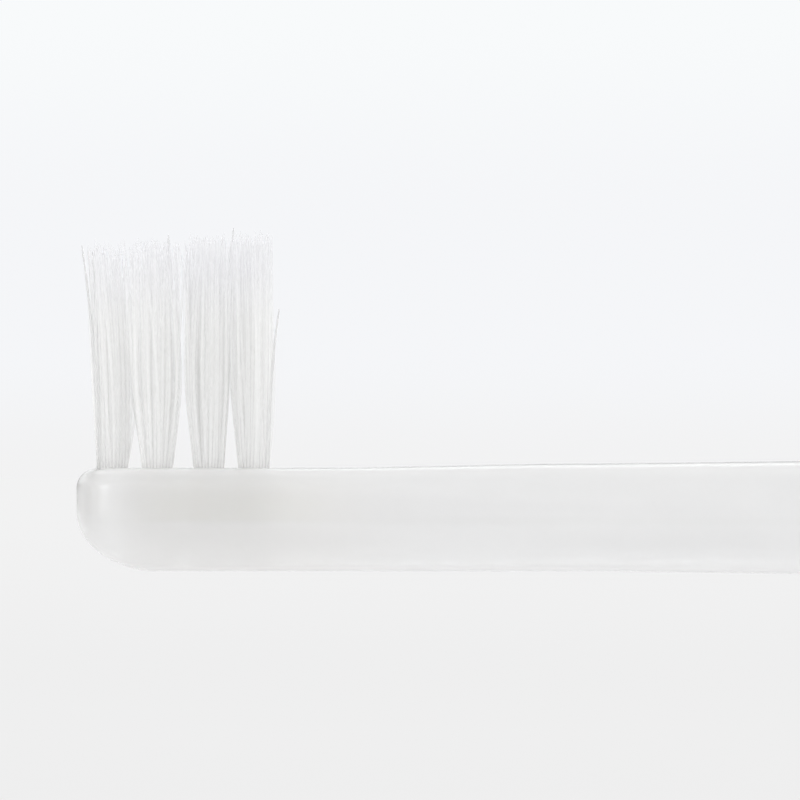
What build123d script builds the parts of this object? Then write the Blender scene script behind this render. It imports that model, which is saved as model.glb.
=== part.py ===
from build123d import *
import math
import os
import random

# Toothbrush head that pushes onto a drive shaft: a moulded body, eleven tufts and their anchors.
# X runs along the neck, with the socket mouth at the origin and the tip at -X.
# The bristles point to +Z, and the head is symmetric about the XZ plane.

# Moulded body, with stations measured from the tip
overall_length = 64.0
head_width = 7.2
head_thickness = 4.55
head_crown_radius = 0.9
head_rim_depth = 1.9
head_drop = 0.1
paddle_length = 9.8
waist_station = 23.0
waist_width = 4.7
waist_thickness = 4.75
waist_crown_radius = 1.8
neck_end_diameter = 5.6
neck_end_flat = 0.2
shoulder_spans = 8
neck_spans = 4

# Collar that meets the handle
collar_diameter = 7.4
collar_length = 6.0
collar_chamfer = 0.6

# Shaft socket, with one key slot that sets the brush the right way round
socket_diameter = 3.2
socket_depth = 16.0
socket_lead_in = 0.4
key_width = 1.0
key_depth = 0.5
key_length = 6.0

# Tuft holes: two pairs of rows, with two tufts in the row at the tip and three in the others
hole_diameter = 1.52
hole_depth = 2.4
first_row_station = 1.6
pair_pitch = 1.96
pair_gap = 2.27
column_pitch = 1.96

# Brass anchors: flat plates driven across the holes, with their ends in slits in the body
anchor_length = 1.76
anchor_thickness = 0.28
anchor_height = 1.3
anchor_angle = 35.0
fold_thickness = 0.4
fit_clearance = 0.01

# Filaments: folded under the anchor, trimmed nearly level and ground to fine tips
bristle_length = 10.0
trim_slope = 2.5
trim_scatter = 0.3
filament_diameter = 0.21
filament_gap = 0.03
filament_taper_length = 4.5
filament_sides = 4
filament_root_depth = 0.2
fold_chamfer = 0.35
bundle_sides = 12
tuft_flare = 2.0
row_leans = (-3.0, -1.2, 0.2, 0.4)

# Values worked out from the sizes above
tip_x = -overall_length
face_z = head_thickness / 2 - head_drop
plug_radius = hole_diameter / 2 - fit_clearance
hole_floor_z = face_z - hole_depth
anchor_bottom_z = hole_floor_z + fold_thickness
anchor_top_z = anchor_bottom_z + anchor_height
nose_radius = head_width / 2
neck_end_station = overall_length - collar_length
socket_radius = socket_diameter / 2
row_stations = [
    first_row_station,
    first_row_station + pair_pitch,
    first_row_station + pair_pitch + pair_gap,
    first_row_station + 2 * pair_pitch + pair_gap,
]
pair_columns = {"left": column_pitch / 2, "right": -column_pitch / 2}
full_columns = {"left": column_pitch, "middle": 0.0, "right": -column_pitch}
row_columns = [pair_columns, full_columns, full_columns, full_columns]


def ease(start, end, share):
    """Smooth step from start to end, level at both ends."""
    return start + (end - start) * share * share * (3 - 2 * share)


def section_sizes(station):
    """Half width, thickness, crown radius, rim depth and centre height of the body at a station."""
    head = (head_width / 2, head_thickness, head_crown_radius, head_rim_depth, -head_drop)
    waist = (waist_width / 2, waist_thickness, waist_crown_radius, waist_thickness / 2, 0.0)
    end_radius = neck_end_diameter / 2
    neck_end = (end_radius, neck_end_diameter, end_radius - neck_end_flat, end_radius, 0.0)
    if station <= paddle_length:
        return head
    if station <= waist_station:
        share = (station - paddle_length) / (waist_station - paddle_length)
        return [ease(a, b, share) for a, b in zip(head, waist)]
    share = (station - waist_station) / (neck_end_station - waist_station)
    return [a + (b - a) * share for a, b in zip(waist, neck_end)]


def body_section(station):
    """Cross-section of the body: flat top, round crown edges, straight sides and a half-ellipse hull."""
    half_width, thickness, crown, rim_depth, centre = section_sizes(station)
    top = centre + thickness / 2
    rim = top - rim_depth
    shoulder = half_width - crown
    outline = [
        Line((-shoulder, top), (shoulder, top)),
        CenterArc((shoulder, top - crown), crown, 90, -90),
        Line((half_width, top - crown), (half_width, rim)),
        EllipticalCenterArc((0, rim), half_width, thickness - rim_depth, 0, arc_size=-180),
        Line((-half_width, rim), (-half_width, top - crown)),
        CenterArc((-shoulder, top - crown), crown, 180, -90),
    ]
    plane = Plane((tip_x + station, 0, 0), x_dir=(0, 1, 0), z_dir=(1, 0, 0))
    return plane * make_face(outline)


def spread(start, end, spans):
    """Evenly spaced stations from start to end."""
    return [start + (end - start) * index / spans for index in range(spans + 1)]


def tuft_places():
    """Name, row, and X and Y of each tuft."""
    places = []
    for row, (station, columns) in enumerate(zip(row_stations, row_columns)):
        for side, y in columns.items():
            places.append((f"tuft_row{row + 1}_{side}", row, tip_x + station, y))
    return places


def anchor_plate(x, y, margin, top_z):
    """Anchor at one tuft, grown by a margin all round and carried up to top_z."""
    bottom_z = anchor_bottom_z - margin
    plate = Box(
        anchor_length + 2 * margin,
        anchor_thickness + 2 * margin,
        top_z - bottom_z,
        align=(Align.CENTER, Align.CENTER, Align.MIN),
    )
    return Pos(x, y, bottom_z) * Rot(0, 0, anchor_angle) * plate


def along_x(radius, length, start_x):
    """Round bar along X."""
    bar = Cylinder(radius, length, align=(Align.CENTER, Align.CENTER, Align.MIN))
    return Pos(start_x, 0, 0) * Rot(0, 90, 0) * bar


def brush_body():
    """Head, neck and collar in one moulding, with the tuft holes, anchor slits and shaft socket."""
    nose_x = tip_x + nose_radius
    left_side = (Align.CENTER, Align.MIN, Align.CENTER)
    left_half = Box(nose_radius, head_width, 2 * head_thickness, align=left_side)
    half_section = body_section(nose_radius) & Pos(nose_x, 0, 0) * left_half
    nose = revolve(half_section, Axis((nose_x, 0, 0), (0, 0, 1)), 180)

    paddle = extrude(body_section(nose_radius), paddle_length - nose_radius, dir=(1, 0, 0))
    shoulder_stations = spread(paddle_length, waist_station, shoulder_spans)
    shoulder = loft([body_section(station) for station in shoulder_stations], ruled=True)
    neck_stations = spread(waist_station, overall_length - collar_length / 2, neck_spans)
    neck = loft([body_section(station) for station in neck_stations], ruled=True)

    collar = along_x(collar_diameter / 2, collar_length, -collar_length)
    collar = chamfer(collar.edges().filter_by(GeomType.CIRCLE), collar_chamfer)
    body = nose + paddle + shoulder + neck + collar

    for _, _, x, y in tuft_places():
        hole = Cylinder(hole_diameter / 2, 2 * hole_depth, align=(Align.CENTER, Align.CENTER, Align.MIN))
        body -= Pos(x, y, hole_floor_z) * hole
        body -= anchor_plate(x, y, fit_clearance, face_z + hole_depth)

    body -= along_x(socket_radius, socket_depth, -socket_depth)
    mouth = Cone(
        socket_radius,
        socket_radius + socket_lead_in,
        socket_lead_in,
        align=(Align.CENTER, Align.CENTER, Align.MIN),
    )
    body -= Pos(-socket_lead_in, 0, 0) * Rot(0, 90, 0) * mouth
    key = Box(key_length, key_width, socket_radius + key_depth, align=(Align.MAX, Align.CENTER, Align.MIN))
    return body - key


def filament(base, tip):
    """Straight filament with a polygon section, ground to a fine point over its last few millimetres."""
    corners = [2 * math.pi * index / filament_sides for index in range(filament_sides)]
    rim = [Vector(math.cos(angle), math.sin(angle), 0) * (filament_diameter / 2) for angle in corners]
    length = (tip - base).length
    taper_start = base + (tip - base) * (1 - filament_taper_length / length)
    lower = [base + offset for offset in rim]
    upper = [taper_start + offset for offset in rim]
    faces = [Face(Wire.make_polygon(lower))]
    for index in range(filament_sides):
        after = (index + 1) % filament_sides
        shaft_side = [lower[index], lower[after], upper[after], upper[index]]
        point_side = [upper[index], upper[after], tip]
        faces.append(Face(Wire.make_polygon(shaft_side)))
        faces.append(Face(Wire.make_polygon(point_side)))
    return Solid(Shell(faces))


def filament_spots():
    """Hexagonal packing of filament centres that fits inside a tuft hole."""
    pitch = filament_diameter + filament_gap
    reach = plug_radius - filament_diameter / 2
    rings = math.ceil(2 * reach / pitch)
    spots = []
    for i in range(-rings, rings + 1):
        for j in range(-rings, rings + 1):
            spot_x = pitch * (i + j / 2)
            spot_y = pitch * j * math.sqrt(3) / 2
            if math.hypot(spot_x, spot_y) <= reach:
                spots.append((spot_x, spot_y))
    return spots


def tuft(row, x, y, seed):
    """One tuft: the folded bundle in its hole, and the filaments that stand out of it."""
    root_z = face_z - filament_root_depth
    floor_z = hole_floor_z + fit_clearance
    bundle = extrude(RegularPolygon(plug_radius, bundle_sides), root_z - floor_z)
    bundle = chamfer(bundle.faces().sort_by(Axis.Z)[0].edges(), fold_chamfer)
    bundle = Pos(x, y, floor_z) * bundle - anchor_plate(x, y, fit_clearance, anchor_top_z + fit_clearance)

    draw = random.Random(seed)
    trim_z = face_z + bristle_length + math.tan(math.radians(trim_slope)) * (x - tip_x - row_stations[2])
    filaments = []
    for spot_x, spot_y in filament_spots():
        outward = math.hypot(spot_x, spot_y) / plug_radius * tuft_flare
        bearing = math.atan2(spot_y, spot_x)
        lean_x = math.radians(row_leans[row] + outward * math.cos(bearing))
        lean_y = math.radians(outward * math.sin(bearing))
        tip_z = trim_z + draw.uniform(-trim_scatter, trim_scatter)
        rise = tip_z - root_z
        base = Vector(x + spot_x, y + spot_y, root_z)
        tip = base + Vector(rise * math.tan(lean_x), rise * math.tan(lean_y), rise)
        filaments.append(filament(base, tip))
    return bundle.fuse(*filaments)


os.makedirs("parts", exist_ok=True)
export_step(brush_body(), "parts/brush_body.step")
places = tuft_places()
anchors = [anchor_plate(x, y, 0.0, anchor_top_z) for _, _, x, y in places]
export_step(Compound(children=anchors), "parts/tuft_anchors.step")
for seed, (name, row, x, y) in enumerate(places):
    export_step(tuft(row, x, y, seed), f"parts/{name}.step")
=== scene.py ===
import math
import random

import bmesh
import bpy
from mathutils import Matrix, Vector


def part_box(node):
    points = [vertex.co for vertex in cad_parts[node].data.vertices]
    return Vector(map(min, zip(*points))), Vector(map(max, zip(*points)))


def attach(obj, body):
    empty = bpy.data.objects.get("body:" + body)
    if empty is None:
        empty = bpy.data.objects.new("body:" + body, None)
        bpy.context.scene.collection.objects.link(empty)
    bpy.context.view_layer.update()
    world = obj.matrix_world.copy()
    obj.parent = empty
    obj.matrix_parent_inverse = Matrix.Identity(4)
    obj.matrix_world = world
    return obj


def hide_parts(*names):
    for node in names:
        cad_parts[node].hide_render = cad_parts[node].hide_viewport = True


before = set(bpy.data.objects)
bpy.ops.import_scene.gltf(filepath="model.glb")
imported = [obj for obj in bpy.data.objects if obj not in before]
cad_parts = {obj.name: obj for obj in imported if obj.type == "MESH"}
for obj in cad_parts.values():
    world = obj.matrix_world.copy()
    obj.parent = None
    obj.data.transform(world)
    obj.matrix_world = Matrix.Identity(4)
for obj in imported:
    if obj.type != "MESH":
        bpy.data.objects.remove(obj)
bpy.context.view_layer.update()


# Moulded body: head, neck and collar in one shot of natural polypropylene, which is milky and
# lets light through. The mould halves meet in a faint line round the sides, the tufts stand in
# blind holes in the flat face, and a round socket in the collar takes the drive shaft.
MM = 0.001
body_low, body_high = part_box("brush_body")
tip_x = body_low[0] / MM
overall_length = (body_high[0] - body_low[0]) / MM
head_width = 7.2
head_thickness = 4.55
head_crown = 0.9
head_rim_depth = 1.9
head_drop = 0.1
paddle_length = 9.8
waist_station = 23.0
waist_width = 4.7
waist_thickness = 4.75
waist_crown = 1.8
neck_end_radius = 2.8
neck_end_crown = 2.6
collar_radius = (body_high[1] - body_low[1]) / 2 / MM
collar_length = 6.0
collar_chamfer = 0.6
face_z = head_thickness / 2 - head_drop
nose_radius = head_width / 2
neck_end_station = overall_length - collar_length


def ease(share):
    """Smooth step from 0 to 1, level at both ends."""
    return share * share * (3 - 2 * share)


def section_sizes(station):
    """Half width, thickness, crown radius, rim depth and centre height at a station from the tip."""
    head = (nose_radius, head_thickness, head_crown, head_rim_depth, -head_drop)
    waist = (waist_width / 2, waist_thickness, waist_crown, waist_thickness / 2, 0.0)
    neck_end = (neck_end_radius, 2 * neck_end_radius, neck_end_crown, neck_end_radius, 0.0)
    if station <= paddle_length:
        return head
    if station <= waist_station:
        share = ease((station - paddle_length) / (waist_station - paddle_length))
        return [a + (b - a) * share for a, b in zip(head, waist)]
    share = (station - waist_station) / (neck_end_station - waist_station)
    return [a + (b - a) * share for a, b in zip(waist, neck_end)]


def half_profile(station):
    """Points from the top middle, over the crown edge and the side, to the bottom middle."""
    half_width, thickness, crown, rim_depth, centre = section_sizes(station)
    flat_steps, crown_steps, side_steps, hull_steps = 6, 12, 4, 24
    top = centre + thickness / 2
    rim = top - rim_depth
    shoulder = half_width - crown
    points = [(shoulder * step / flat_steps, top) for step in range(flat_steps)]
    for step in range(crown_steps + 1):
        angle = math.pi / 2 * step / crown_steps
        points.append((shoulder + crown * math.sin(angle), top - crown + crown * math.cos(angle)))
    for step in range(1, side_steps):
        points.append((half_width, top - crown + (rim - top + crown) * step / side_steps))
    for step in range(hull_steps + 1):
        angle = math.pi / 2 * step / hull_steps
        hull_depth = thickness - rim_depth
        points.append((half_width * math.cos(angle), rim - hull_depth * math.sin(angle)))
    return points


def body_stations():
    """Stations of the loops, from the end of the nose to the middle of the collar."""
    paddle_steps, shoulder_steps, neck_steps = 12, 36, 40
    paddle_run = paddle_length - nose_radius
    shoulder_run = waist_station - paddle_length
    neck_run = overall_length - collar_length / 2 - waist_station
    stations = [nose_radius + paddle_run * step / paddle_steps for step in range(paddle_steps)]
    stations += [paddle_length + shoulder_run * step / shoulder_steps for step in range(shoulder_steps)]
    stations += [waist_station + neck_run * step / neck_steps for step in range(neck_steps + 1)]
    return stations


def moulding_mesh():
    """Closed skin of the head and neck: a half turn at the tip, then loops along the length."""
    mesh = bmesh.new()
    loops = []
    for station in body_stations():
        half = half_profile(station)
        x = tip_x + station
        left = [mesh.verts.new((x * MM, y * MM, z * MM)) for y, z in half]
        right = [mesh.verts.new((x * MM, -y * MM, z * MM)) for y, z in half[1:-1]]
        loops.append(left + right[::-1])
    for before, after in zip(loops, loops[1:]):
        for i in range(len(before)):
            j = (i + 1) % len(before)
            mesh.faces.new((before[i], before[j], after[j], after[i]))
    mesh.faces.new(loops[-1])

    half = half_profile(nose_radius)
    last = len(half) - 1
    top_pole, bottom_pole = loops[0][0], loops[0][last]
    turns = 64
    rows = [loops[0][1:last]]
    for step in range(1, turns):
        angle = math.pi * step / turns
        row = []
        for reach, z in half[1:last]:
            x = tip_x + nose_radius - reach * math.sin(angle)
            row.append(mesh.verts.new((x * MM, reach * math.cos(angle) * MM, z * MM)))
        rows.append(row)
    rows.append(loops[0][:last:-1])
    for before, after in zip(rows, rows[1:]):
        mesh.faces.new((top_pole, after[0], before[0]))
        mesh.faces.new((bottom_pole, before[-1], after[-1]))
        for i in range(len(before) - 1):
            mesh.faces.new((before[i], after[i], after[i + 1], before[i + 1]))
    return mesh


def new_piece(name, mesh):
    """Object made from a bmesh, with its faces turned outwards."""
    bmesh.ops.recalc_face_normals(mesh, faces=mesh.faces)
    data = bpy.data.meshes.new(name)
    mesh.to_mesh(data)
    mesh.free()
    piece = bpy.data.objects.new(name, data)
    bpy.context.scene.collection.objects.link(piece)
    return piece


def lathe_mesh(profile, sides=96):
    """Closed solid turned about the X axis from (x, radius) points, with flat ends."""
    mesh = bmesh.new()
    rings = []
    for x, radius in profile:
        ring = []
        for side in range(sides):
            angle = 2 * math.pi * side / sides
            y = radius * math.cos(angle)
            z = radius * math.sin(angle)
            ring.append(mesh.verts.new((x * MM, y * MM, z * MM)))
        rings.append(ring)
    for before, after in zip(rings, rings[1:]):
        for i in range(sides):
            j = (i + 1) % sides
            mesh.faces.new((before[i], before[j], after[j], after[i]))
    mesh.faces.new(rings[0])
    mesh.faces.new(rings[-1])
    return mesh


def combine(piece, tool_mesh, operation):
    """Join or cut a piece with a closed tool mesh."""
    tool = new_piece("tool", tool_mesh)
    step = piece.modifiers.new("combine", "BOOLEAN")
    step.operation = operation
    step.solver = "MANIFOLD"
    step.object = tool
    evaluated = piece.evaluated_get(bpy.context.evaluated_depsgraph_get())
    shaped = bpy.data.meshes.new_from_object(evaluated)
    piece.modifiers.clear()
    piece.data = shaped
    bpy.data.objects.remove(tool)


hole_radius = 0.76
hole_depth = 2.4
first_row = 1.6
pair_pitch = 1.96
pair_gap = 2.27
column_pitch = 1.96
anchor_angle = math.radians(35)
anchor_height = 1.3
fold_thickness = 0.4
slit_length = 1.78
slit_width = 0.3
hole_floor = face_z - hole_depth
anchor_bottom = hole_floor + fold_thickness
anchor_top = anchor_bottom + anchor_height
row_stations = [
    first_row,
    first_row + pair_pitch,
    first_row + pair_pitch + pair_gap,
    first_row + 2 * pair_pitch + pair_gap,
]
side_columns = {"left": 1, "middle": 0, "right": -1}
tuft_places = []
for row, station in enumerate(row_stations):
    for side, column in side_columns.items():
        if row == 0 and side == "middle":
            continue
        spacing = column_pitch / 2 if row == 0 else column_pitch
        tuft_places.append((f"tuft_row{row + 1}_{side}", row, tip_x + station, column * spacing))


def holes_mesh():
    """Cutters for the tuft holes, twice as long as the holes are deep."""
    mesh = bmesh.new()
    for _, _, x, y in tuft_places:
        place = Matrix.Translation((x * MM, y * MM, (hole_floor + hole_depth) * MM))
        bmesh.ops.create_cone(
            mesh, cap_ends=True, segments=48, radius1=hole_radius * MM, radius2=hole_radius * MM,
            depth=2 * hole_depth * MM, matrix=place,
        )
    return mesh


def slits_mesh():
    """Cutters for the slits that the anchors leave beside the holes."""
    mesh = bmesh.new()
    height = face_z + 1 - anchor_bottom
    for _, _, x, y in tuft_places:
        place = Matrix.Translation((x * MM, y * MM, (anchor_bottom + height / 2) * MM))
        place = place @ Matrix.Rotation(anchor_angle, 4, "Z")
        place = place @ Matrix.Diagonal((slit_length * MM, slit_width * MM, height * MM, 1))
        bmesh.ops.create_cube(mesh, size=1, matrix=place)
    return mesh


def key_mesh():
    """Cutter for the key slot at the top of the socket, which runs out past the mouth."""
    mesh = bmesh.new()
    overrun = 1.0
    length, width, height = 6.0 + overrun, 1.0, 2.1
    place = Matrix.Translation(((overrun - length / 2) * MM, 0, height / 2 * MM))
    place = place @ Matrix.Diagonal((length * MM, width * MM, height * MM, 1))
    bmesh.ops.create_cube(mesh, size=1, matrix=place)
    return mesh


collar_profile = [
    (-collar_length, collar_radius - collar_chamfer),
    (-collar_length + collar_chamfer, collar_radius),
    (-collar_chamfer, collar_radius),
    (0.0, collar_radius - collar_chamfer),
]
socket_radius = 1.6
socket_depth = 16.0
lead_in = 0.4
socket_profile = [
    (-socket_depth, socket_radius),
    (-lead_in, socket_radius),
    (0.0, socket_radius + lead_in),
    (1.0, socket_radius + lead_in + 1.0),
]
sharp_edge = math.radians(32)
moulding = new_piece("natural_moulding", moulding_mesh())
combine(moulding, lathe_mesh(collar_profile), "UNION")
combine(moulding, lathe_mesh(socket_profile), "DIFFERENCE")
combine(moulding, key_mesh(), "DIFFERENCE")
combine(moulding, holes_mesh(), "DIFFERENCE")
combine(moulding, slits_mesh(), "DIFFERENCE")
moulding.data.shade_smooth()
moulding.data.set_sharp_from_angle(angle=sharp_edge)


class Link:
    """One socket of a node tree: arithmetic on it adds Math nodes, and node() adds any other node."""

    def __init__(self, tree, socket=None):
        self.tree = tree
        self.socket = socket

    def node(self, kind, settings=None, inputs=None, output=0):
        made = self.tree.nodes.new(kind)
        for name, value in (settings or {}).items():
            setattr(made, name, value)
        for name, value in (inputs or {}).items():
            if isinstance(value, Link):
                self.tree.links.new(value.socket, made.inputs[name])
            else:
                made.inputs[name].default_value = value
        return Link(self.tree, made.outputs[output] if made.outputs else None)

    def math(self, operation, first, second=0.0):
        return self.node("ShaderNodeMath", {"operation": operation}, {0: first, 1: second})

    def __add__(self, other):
        return self.math("ADD", self, other)

    __radd__ = __add__

    def __sub__(self, other):
        return self.math("SUBTRACT", self, other)

    def __rsub__(self, other):
        return self.math("SUBTRACT", other, self)

    def __mul__(self, other):
        return self.math("MULTIPLY", self, other)

    def __rtruediv__(self, other):
        return self.math("DIVIDE", other, self)

    def within(self, low, high):
        """0 below low, 1 above high, and smooth between."""
        settings = {"interpolation_type": "SMOOTHSTEP", "clamp": True}
        inputs = {"Value": self, "From Min": low, "From Max": high}
        return self.node("ShaderNodeMapRange", settings, inputs)

    def blend(self, first, second):
        """Colour between first and second by this value."""
        settings = {"data_type": "RGBA"}
        return self.node("ShaderNodeMix", settings, {"Factor": self, 6: first, 7: second}, output=2)


def new_material(name):
    """Empty node material, returned with a Link to build on."""
    material = bpy.data.materials.new(name)
    material.use_nodes = True
    material.node_tree.nodes.clear()
    return material, Link(material.node_tree)


def dress(piece, material):
    """Give a piece one material."""
    piece.data.materials.clear()
    piece.data.materials.append(material)


def polypropylene():
    """Milky, see-through plastic with faint flow clouds, a soft mould skin and a parting line, with
    painted shade and painted light on the head.
    """
    clear_low, clear_high = (0.885, 0.885, 0.887, 1), (0.90, 0.90, 0.902, 1)
    painted_tuft_shade_tone = (0.87, 0.86, 0.85, 1)
    painted_fold_shade_tone = (0.825, 0.82, 0.785, 1)
    painted_crest_light_tone = (0.985, 0.985, 0.98, 1)
    painted_nose_light_tone = (0.95, 0.95, 0.95, 1)
    seam_tone = (0.83, 0.83, 0.82, 1)
    dark, scattered_light = (0.0, 0.0, 0.0, 1), (1.0, 1.0, 0.99, 1)
    seam_height = -0.00012

    material, start = new_material("natural_polypropylene")
    place = start.node("ShaderNodeTexCoord", output=3)
    cloud_inputs = {"Vector": place, "Scale": 260.0, "Detail": 3.0}
    clouds = start.node("ShaderNodeTexNoise", inputs=cloud_inputs)
    skin_inputs = {"Vector": place, "Scale": 3200.0, "Detail": 2.0}
    skin = start.node("ShaderNodeTexNoise", inputs=skin_inputs)
    along = start.node("ShaderNodeSeparateXYZ", inputs={"Vector": place}, output=0) - tip_x * MM
    height = start.node("ShaderNodeSeparateXYZ", inputs={"Vector": place}, output=2)

    # Zones of the head, in metres from the tip and from the neck's axis
    offset = start.math("ABSOLUTE", height - seam_height)
    seam = 1 - offset.within(0.00003, 0.00025)
    tufted = along.within(0.0010, 0.0030) * (1 - along.within(0.0085, 0.0165))
    fold_shade_zone = along.within(0.0018, 0.0045) * (1 - along.within(0.0065, 0.0140))
    fold_shade_zone = fold_shade_zone * height.within(-0.0003, 0.0) * (1 - height.within(0.0006, 0.0021) * 0.6)
    crest_light = height.within(0.0017, 0.0022)
    nose_light = 1 - along.within(0.0010, 0.0024)
    between_tufts = height.within(0.0018, 0.0022) * (1 - along.within(0.0082, 0.0098))

    clear = clouds.within(0.3, 0.7).blend(clear_low, clear_high)
    # Painted shade: the head is darker and warmer over the tufts, and darker still low down where the
    # folds and anchors sit inside
    tuft_shaded = (tufted * 0.5).blend(clear, painted_tuft_shade_tone)
    painted_shade_and_light = (fold_shade_zone * 0.57).blend(tuft_shaded, painted_fold_shade_tone)
    # Painted light: the top edge of the head is paler, most of all among the tufts, which shade it
    painted_shade_and_light = (crest_light * (0.6 + tufted * 0.4)).blend(painted_shade_and_light, painted_crest_light_tone)
    # Painted light: the nose in front of the tufts is paler
    painted_shade_and_light = (nose_light * 0.8).blend(painted_shade_and_light, painted_nose_light_tone)
    colour = (seam * 0.12).blend(painted_shade_and_light, seam_tone)
    relief = skin * 0.3 + clouds * 0.4 - seam * 0.5
    bump_inputs = {"Height": relief, "Strength": 0.12, "Distance": 0.00005}
    bump = start.node("ShaderNodeBump", inputs=bump_inputs)
    shader = start.node(
        "ShaderNodeBsdfPrincipled",
        {"subsurface_method": "RANDOM_WALK"},
        {
            "Base Color": colour,
            "Roughness": 0.18 + clouds * 0.08,
            "IOR": 1.49,
            "Transmission Weight": 0.2,
            "Subsurface Weight": 1.0,
            "Subsurface Radius": (1.0, 1.0, 1.0),
            "Subsurface Scale": 0.002,
            # Light that the moulding carries up between the tufts, where they shade the face
            "Emission Color": between_tufts.blend(dark, scattered_light),
            "Emission Strength": 0.1,
            "Normal": bump,
        },
    )
    start.node("ShaderNodeOutputMaterial", inputs={"Surface": shader})
    return material


dress(moulding, polypropylene())
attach(moulding, "root")
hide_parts("brush_body")


# Anchors: short plates cut from flat brass wire and driven across each hole, so that their ends
# bite into the plastic. They stay hidden and only show as a warm shadow through the head.
def rolled_brass():
    """Brass strip with fine drawn lines."""
    dark_brass, pale_brass = (0.62, 0.45, 0.18, 1), (0.78, 0.60, 0.29, 1)
    material, start = new_material("rolled_brass")
    place = start.node("ShaderNodeTexCoord", output=3)
    stretch_inputs = {"Vector": place, "Scale": (400.0, 400.0, 6000.0)}
    stretch = start.node("ShaderNodeMapping", inputs=stretch_inputs)
    grain_inputs = {"Vector": stretch, "Scale": 1.0, "Detail": 3.0}
    grain = start.node("ShaderNodeTexNoise", inputs=grain_inputs)
    shader = start.node(
        "ShaderNodeBsdfPrincipled",
        inputs={
            "Base Color": grain.blend(dark_brass, pale_brass),
            "Metallic": 1.0,
            "Roughness": 0.28 + grain * 0.2,
        },
    )
    start.node("ShaderNodeOutputMaterial", inputs={"Surface": shader})
    return material


dress(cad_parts["tuft_anchors"], rolled_brass())


# Tufts: bundles of white nylon filament folded once round an anchor, so that each filament gives
# two bristles. They are trimmed nearly level and then ground, which leaves fine uneven points.
# A few single filaments have bent away from their tufts.
filament_radius = 0.066
tip_radius = 0.03
point_slenderness = 4
filament_pitch = 0.152
filament_sides = 6
filament_layers = 6
bristle_length = 10.0
taper_start = 0.5
taper_power = 1.4
fit_clearance = 0.01
bundle_reach = hole_radius - fit_clearance - filament_radius
plate_half = 0.14
fold_spread = 0.2

# Lean in degrees, fan in millimetres to each side and trim in millimetres, row by row from the tip
row_leans = (-2.2, -1.2, 0.3, 0.0)
row_lean_limits = ((-3.6, 6.0), (-6.0, 6.0), (-6.0, 6.0), (-6.0, 0.8))
row_fans = ((0.06, 0.15), (0.40, 0.36), (0.36, 0.24), (0.24, 0.06))
row_trims = (-0.35, -0.15, 0.0, 0.1)
depth_fan = 0.15
fan_height = 0.45
base_flare = 0.07
flare_height = 0.03

# Scatter from tuft to tuft and from filament to filament
tuft_wander = 0.3
filament_wander = (0.8, 0.8, 2.2)
bow_scatter = 0.1
trim_scatter = 0.15
worn_length = 2.0
worn_power = 2.5

# Loose filaments: place along and across from the tuft's middle, bend at the tip, and length
loose_filaments = {
    "tuft_row1_right": [(-0.62, -0.28, -0.75, 9.7), (-0.55, -0.40, -0.35, 9.4)],
    "tuft_row1_left": [(-0.66, 0.1, -0.5, 9.5)],
    "tuft_row2_left": [(0.4, 0.3, 0.05, 10.2)],
    "tuft_row3_left": [(0.5, 0.3, 0.5, 10.5)],
    "tuft_row4_right": [(0.66, -0.15, 1.0, 6.9)],
}
loose_root = hole_floor + 1.9


def bundle_spots():
    """Places of the filaments on one side of the anchor: along it, and away from it."""
    spots = []
    for layer in range(filament_layers):
        across = (layer + 0.5) * filament_pitch * math.sqrt(3) / 2
        for count in range(-filament_layers, filament_layers + 1):
            along = (count + 0.5 * (layer % 2)) * filament_pitch
            if math.hypot(along, across) <= bundle_reach:
                spots.append((along, across))
    return spots


def squeezed(along, across):
    """Where a filament lies beside the anchor, which takes up the middle of the hole."""
    beside = plate_half + filament_radius
    moved = beside + across * (bundle_reach - beside) / bundle_reach
    room = math.sqrt(max(bundle_reach ** 2 - moved ** 2, 0.0))
    full = math.sqrt(max(bundle_reach ** 2 - across ** 2, 0.01))
    return along * room / full, moved


def tapered(share):
    """Radius of a bristle at a share of its length."""
    fade = max(0.0, (share - taper_start) / (1 - taper_start))
    return filament_radius + (tip_radius - filament_radius) * fade ** taper_power


def free_end(row, lean, along, across, draw):
    """Bristle from the face to its tip, as (point, radius) pairs in the tuft's own place."""
    turn = Matrix.Rotation(anchor_angle, 2)
    spot = turn @ Vector((along, across))
    outward = spot / bundle_reach
    wander = draw.choice(filament_wander)
    lean_x = lean[0] + draw.gauss(0, wander)
    lean_y = lean[1] + draw.gauss(0, wander)
    lowest, highest = row_lean_limits[row]
    lean_x = min(max(lean_x, lowest), highest)
    rise = bristle_length + row_trims[row] + draw.gauss(0, trim_scatter)
    rise -= worn_length * draw.random() ** worn_power
    bow_x = draw.gauss(0, bow_scatter)
    bow_y = draw.gauss(0, bow_scatter)
    fan_x = outward.x * row_fans[row][0 if outward.x < 0 else 1]
    fan_y = outward.y * depth_fan
    steps = 10
    pairs = []
    for step in range(steps + 1):
        share = (step / steps) ** 1.5
        bow = 4 * share * (1 - share)
        flare = base_flare * (1 - math.exp(-share / flare_height))
        fan = ease(min(share / fan_height, 1.0))
        x = spot.x + outward.x * flare + fan_x * fan + bow_x * bow
        y = spot.y + outward.y * flare + fan_y * fan + bow_y * bow
        x += rise * share ** 2 * math.tan(math.radians(lean_x))
        y += rise * share ** 2 * math.tan(math.radians(lean_y))
        pairs.append((Vector((x, y, face_z + rise * share)), tapered(share)))
    return pairs


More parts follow.
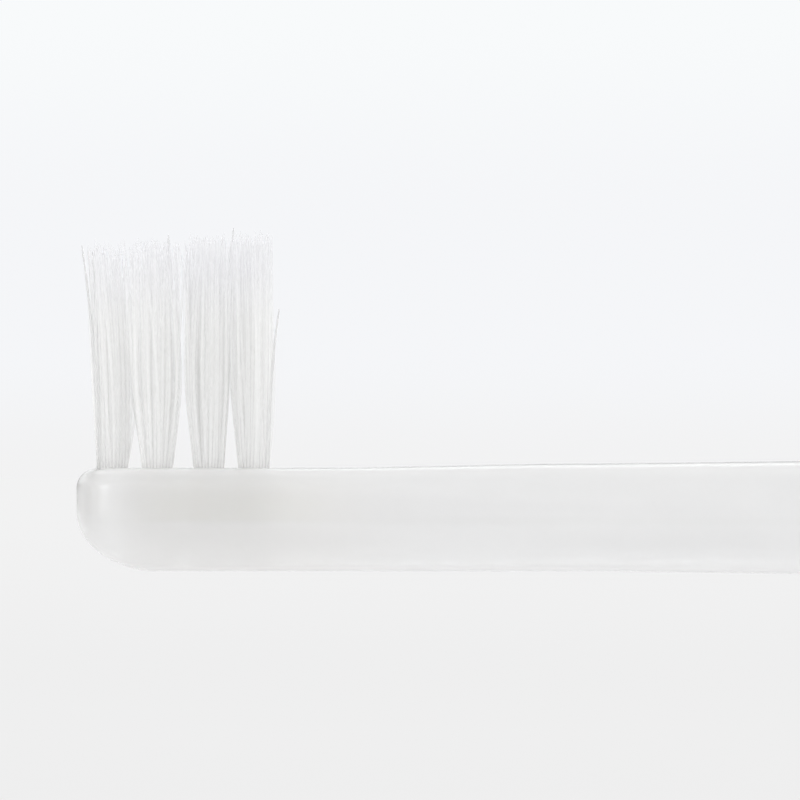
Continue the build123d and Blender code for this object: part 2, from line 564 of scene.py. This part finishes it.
def folded_filament(row, lean, along, across, draw):
    """One whole filament: tip, down into the hole, under the anchor, and up to its other tip."""
    turn = Matrix.Rotation(anchor_angle, 2)
    tight_along, tight_across = squeezed(along, across)
    near = free_end(row, lean, along, across, draw)
    far = free_end(row, lean, along, -across, draw)
    fold_depth = filament_radius + fold_spread * (tight_across - plate_half) / bundle_reach
    legs = []
    for side in (1, -1):
        flat = turn @ Vector((tight_along, side * tight_across))
        legs.append([(flat, anchor_top), (flat, anchor_bottom)])
    fold = []
    fold_steps = 6
    for step in range(1, fold_steps):
        angle = math.pi * step / fold_steps
        flat = turn @ Vector((tight_along, tight_across * math.cos(angle)))
        fold.append((flat, anchor_bottom - fold_depth * math.sin(angle)))
    inside = legs[0] + fold + legs[1][::-1]
    pairs = near[::-1]
    pairs += [(Vector((flat.x, flat.y, z)), filament_radius) for flat, z in inside]
    return pairs + far


def loose_filament(along, across, bend, rise):
    """Single bristle that bends away from its tuft, held a little way down the hole."""
    steps = 8
    pairs = []
    for step in range(steps + 1):
        share = step / steps
        z = loose_root + (face_z + rise - loose_root) * share
        x = along + bend * (max(z - face_z, 0.0) / bristle_length) ** 2
        pairs.append((Vector((x, across, z)), tapered(share)))
    return pairs


def add_tube(mesh, pairs, shift, material_index):
    """Closed round tube through the points, with its rings square to the path and a fine point."""
    rings = []
    points = [point + shift for point, _ in pairs]
    side_axis = Vector((1, 0, 0))
    for index, (_, radius) in enumerate(pairs):
        before = points[max(index - 1, 0)]
        after = points[min(index + 1, len(points) - 1)]
        run = (after - before).normalized()
        side_axis = (side_axis - run * side_axis.dot(run)).normalized()
        other_axis = run.cross(side_axis)
        ring = []
        for side in range(filament_sides):
            angle = 2 * math.pi * side / filament_sides
            spoke = side_axis * math.cos(angle) + other_axis * math.sin(angle)
            ring.append(mesh.verts.new((points[index] + spoke * radius) * MM))
        rings.append(ring)
    for before, after in zip(rings, rings[1:]):
        for i in range(filament_sides):
            j = (i + 1) % filament_sides
            face = mesh.faces.new((before[i], before[j], after[j], after[i]))
            face.material_index = material_index
    ends = ((rings[0], points[0], points[1]), (rings[-1], points[-1], points[-2]))
    for ring, point, inner in ends:
        tip = (point - inner).normalized() * tip_radius * point_slenderness
        apex = mesh.verts.new((point + tip) * MM)
        for i in range(filament_sides):
            face = mesh.faces.new((ring[i], ring[i - 1], apex))
            face.material_index = material_index


def white_nylon():
    """Hazy white filament, each one a little different, that thins out towards the tips."""
    shaft_low, shaft_high = (0.88, 0.88, 0.877, 1), (0.90, 0.90, 0.90, 1)
    tip_tone = (0.835, 0.835, 0.853, 1)
    material, start = new_material("white_nylon")
    place = start.node("ShaderNodeTexCoord", output=3)
    each = start.node("ShaderNodeNewGeometry", output=8)
    streak_inputs = {"Vector": place, "Scale": 900.0, "Detail": 2.0}
    streaks = start.node("ShaderNodeTexNoise", inputs=streak_inputs)
    height = start.node("ShaderNodeSeparateXYZ", inputs={"Vector": place}, output=2)
    near_tip = (height - face_z * MM).within(0.006, 0.0098)
    shaft = (each * 0.7 + streaks * 0.3).blend(shaft_low, shaft_high)
    shader = start.node(
        "ShaderNodeBsdfPrincipled",
        inputs={
            "Base Color": near_tip.blend(shaft, tip_tone),
            "Roughness": 0.5 + streaks * 0.15,
            "IOR": 1.53,
            "Alpha": 0.24,
            # Light scattered from filament to filament beyond the bounces that are followed
            "Emission Color": (1.0, 1.0, 0.99, 1),
            "Emission Strength": 0.095,
        },
    )
    start.node("ShaderNodeOutputMaterial", inputs={"Surface": shader})
    return material


def clear_nylon():
    """Single filament, which shows dark edges against a pale background."""
    material, start = new_material("clear_nylon")
    shader = start.node(
        "ShaderNodeBsdfPrincipled",
        inputs={
            "Base Color": (0.93, 0.93, 0.93, 1),
            "Roughness": 0.25,
            "IOR": 1.53,
            "Transmission Weight": 0.6,
            "Alpha": 0.65,
        },
    )
    start.node("ShaderNodeOutputMaterial", inputs={"Surface": shader})
    return material


nylons = [white_nylon(), clear_nylon()]
for seed, (name, row, x, y) in enumerate(tuft_places):
    draw = random.Random(100 + seed)
    lean = (row_leans[row] + draw.gauss(0, tuft_wander), draw.gauss(0, tuft_wander))
    mesh = bmesh.new()
    for along, across in bundle_spots():
        pairs = folded_filament(row, lean, along, across, draw)
        add_tube(mesh, pairs, Vector((x, y, 0)), material_index=0)
    for loose in loose_filaments.get(name, []):
        add_tube(mesh, loose_filament(*loose), Vector((x, y, 0)), material_index=1)
    tuft = new_piece(name.replace("tuft", "bristles"), mesh)
    tuft.data.shade_smooth()
    for nylon in nylons:
        tuft.data.materials.append(nylon)
    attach(tuft, "root")
    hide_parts(name)


# Studio: a pale paper sweep below the brush, which is held in the air by its socket, in a pale
# room that lights it softly from all round. A softbox behind draws a thin bright line along the
# top edges, and a small one beside the tip puts a spot on it. The camera has a long lens.
camera_distance = 600.0
camera_elevation = math.radians(0.1)
frame_width = 35.24
aim = Vector((tip_x + 14.25, 0.0, face_z + 3.0))
lens_data = bpy.data.cameras.new("side_camera")
lens_data.sensor_width = 36.0
lens_data.lens = lens_data.sensor_width * camera_distance / frame_width
lens_data.clip_start = 0.01
lens_data.clip_end = 20.0
camera = bpy.data.objects.new("side_camera", lens_data)
bpy.context.scene.collection.objects.link(camera)
back = Vector((0.0, -math.cos(camera_elevation), math.sin(camera_elevation)))
camera.location = (aim + back * camera_distance) * MM
camera.rotation_euler = (math.pi / 2 - camera_elevation, 0.0, 0.0)
bpy.context.scene.camera = camera

floor_z = -16.0
floor_reach = 2400.0
floor_mesh = bmesh.new()
bmesh.ops.create_grid(floor_mesh, x_segments=1, y_segments=1, size=floor_reach * MM)
floor = new_piece("floor", floor_mesh)
floor.location = (aim.x * MM, 0.0, floor_z * MM)


def pale_sweep():
    """Matt paper in a pale tone, with painted shade that darkens it towards the brush and a painted
    shadow below it, and that meets the room's tone far off.
    """
    far_tone = (0.874, 0.874, 0.876, 1)
    shaded_middle_tone = (0.824, 0.823, 0.824, 1)
    painted_shadow_tone = (0.77, 0.77, 0.772, 1)
    paper_low, paper_high = (0.965, 0.965, 0.965, 1), (0.985, 0.985, 0.985, 1)
    tone_height, tone_reach = 0.022222, 0.6
    tone_share = 0.85

    material, start = new_material("pale_sweep")
    place = start.node("ShaderNodeTexCoord", output=3)
    distance = start.node("ShaderNodeVectorMath", {"operation": "LENGTH"}, {0: place}, output=1)
    fibre = start.node("ShaderNodeTexNoise", inputs={"Vector": place, "Scale": 30.0})
    # Painted shade: the seen tone falls from the room's tone far off towards the brush, with a painted
    # shadow right below it
    nearness = tone_height / (distance + tone_reach)
    tone = nearness.within(0.0074, 0.030).blend(far_tone, shaded_middle_tone)
    tone = nearness.within(0.0312, 0.0362).blend(tone, painted_shadow_tone)
    camera_ray = start.node("ShaderNodeLightPath", output=0)
    glossy_ray = start.node("ShaderNodeLightPath", output=3)
    through_ray = start.node("ShaderNodeLightPath", output=6)
    bent_ray = start.math("MAXIMUM", glossy_ray, through_ray)
    seen_ray = start.math("MAXIMUM", camera_ray, bent_ray)
    matt = start.node(
        "ShaderNodeBsdfPrincipled",
        inputs={
            "Base Color": fibre.blend(paper_low, paper_high),
            "Roughness": 0.9 + fibre * 0.1,
            # Lifts the light that the wide sweep throws up at the brush
            "Emission Color": (1.0, 1.0, 1.0, 1),
            "Emission Strength": 0.04,
        },
    )
    glow = start.node("ShaderNodeEmission", inputs={"Color": tone})
    mixed = start.node("ShaderNodeMixShader", inputs={0: seen_ray * tone_share, 1: matt, 2: glow})
    start.node("ShaderNodeOutputMaterial", inputs={"Surface": mixed})
    return material


dress(floor, pale_sweep())

# The room: what is seen of it, what lights the brush, and two dark flags that only reflections show
horizon_tone = (0.888, 0.888, 0.892, 1)
low_tone, high_tone = (0.911, 0.92, 0.94, 1), (0.939, 0.956, 0.965, 1)
light_below, light_above = (1.03, 1.03, 1.03, 1), (0.96, 0.96, 0.96, 1)
light_at_tip = (0.925, 0.925, 0.925, 1)
flag_tone = (0.05, 0.05, 0.05, 1)
world = bpy.data.worlds.new("soft_room")
world.use_nodes = True
world.node_tree.nodes.clear()
bpy.context.scene.world = world
room = Link(world.node_tree)
direction = room.node("ShaderNodeTexCoord", output=0)
across = room.node("ShaderNodeSeparateXYZ", inputs={"Vector": direction}, output=0)
ahead = room.node("ShaderNodeSeparateXYZ", inputs={"Vector": direction}, output=1)
up = room.node("ShaderNodeSeparateXYZ", inputs={"Vector": direction}, output=2)
seen = up.within(-0.0074, 0.002).blend(horizon_tone, low_tone)
seen = up.within(0.011, 0.0276).blend(seen, high_tone)
lit = up.within(-1.0, 1.0).blend(light_below, light_above)
lit = (0.0 - across).within(0.4, 1.0).blend(lit, light_at_tip)
behind = ahead.within(0.2, 0.6)
aside = room.math("ABSOLUTE", across)
flag_over = up.within(0.18, 0.24) * (1 - up.within(0.36, 0.46)) * (1 - aside.within(0.05, 0.14))
flag_beside = aside.within(0.03, 0.1) * (1 - aside.within(0.6, 0.85)) * (1 - up.within(0.05, 0.2))
flags = behind * room.math("MAXIMUM", flag_over, flag_beside)
mirrored = flags.blend(seen, flag_tone)
camera_ray = room.node("ShaderNodeLightPath", output=0)
glossy_ray = room.node("ShaderNodeLightPath", output=3)
through_ray = room.node("ShaderNodeLightPath", output=6)
bent_ray = room.math("MAXIMUM", glossy_ray, through_ray)
colour = camera_ray.blend(bent_ray.blend(lit, mirrored), seen)
backdrop = room.node("ShaderNodeBackground", inputs={"Color": colour, "Strength": 1.0})
room.node("ShaderNodeOutputWorld", inputs={"Surface": backdrop})


def softbox(name, place, width, height, energy, spread):
    """Area lamp in metres, watts and degrees, turned to the brush."""
    data = bpy.data.lights.new(name, "AREA")
    data.shape = "RECTANGLE"
    data.size = width
    data.size_y = height
    data.energy = energy
    data.spread = math.radians(spread)
    lamp = bpy.data.objects.new(name, data)
    bpy.context.scene.collection.objects.link(lamp)
    lamp.location = place
    lamp.rotation_euler = (aim * MM - lamp.location).to_track_quat("-Z", "Y").to_euler()


back_place = (aim.x * MM, 0.27, 0.24)
side_place = (tip_x * MM - 0.35, -0.05, 0.06)
softbox("back_softbox", back_place, width=0.40, height=0.06, energy=0.12, spread=180)
softbox("side_softbox", side_place, width=0.09, height=0.12, energy=0.0065, spread=40)

# Enough bounces for light to find its way through the tufts
bpy.context.scene.view_settings.view_transform = "Standard"
light_paths = bpy.context.scene.cycles
light_paths.diffuse_bounces = 8
light_paths.transparent_max_bounces = 24
